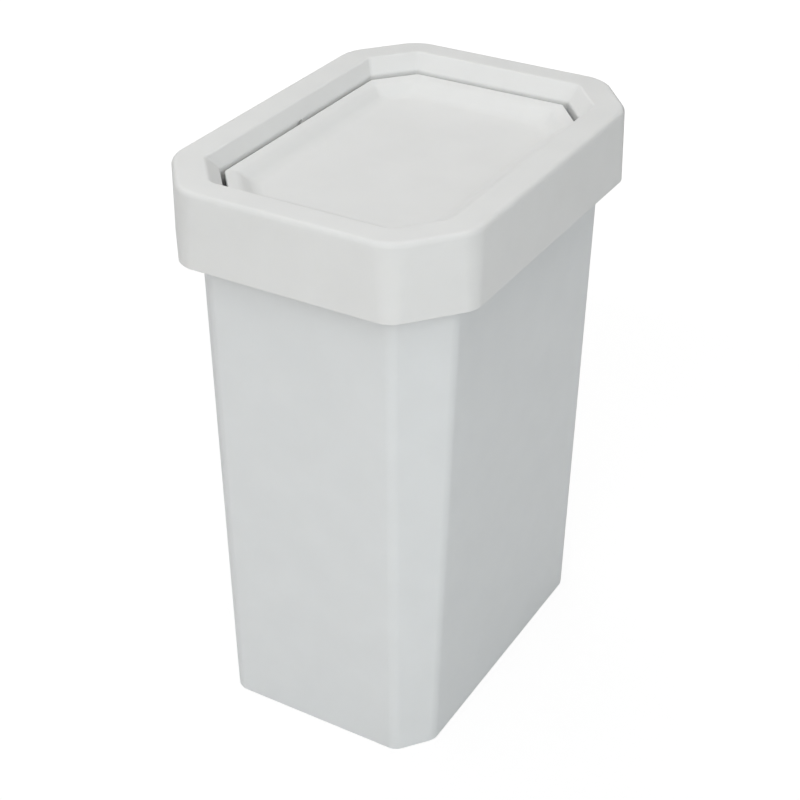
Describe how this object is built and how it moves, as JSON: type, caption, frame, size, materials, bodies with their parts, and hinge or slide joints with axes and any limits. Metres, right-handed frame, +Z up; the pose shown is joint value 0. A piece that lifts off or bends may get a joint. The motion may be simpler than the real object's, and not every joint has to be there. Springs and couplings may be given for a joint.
{
  "type": "swing-lid trash can",
  "caption": "White plastic kitchen bin with a tapered, cut-corner pail and a deep lift-off lid whose dished flap swings both ways on stub pins.",
  "frame": {"origin": "centre of the foot, on the floor", "axes": "+Z up, -Y front (one short end), +X right; the flap's pins lie along X"},
  "size_m": [0.205, 0.2774, 0.38],
  "materials": {
    "pail_plastic": "satin moulded polypropylene",
    "lid_plastic": "satin moulded polypropylene",
    "flap_plastic": "satin moulded polypropylene"
  },
  "bodies": {
    "pail": {"bin_body": "pail_plastic"},
    "lid": {"lid_frame": "lid_plastic"},
    "flap": {"swing_flap": "flap_plastic"}
  },
  "joints": [
    {"name": "lid_lift", "type": "slide", "parent": "pail", "child": "lid", "axis": [0, 0, 1], "range_m": [0, 0.08]},
    {"name": "flap_swing", "type": "hinge", "parent": "lid", "child": "flap", "pos_m": [0, 0, 0.364], "axis": [1, 0, 0], "range_deg": [-90, 90]}
  ]
}
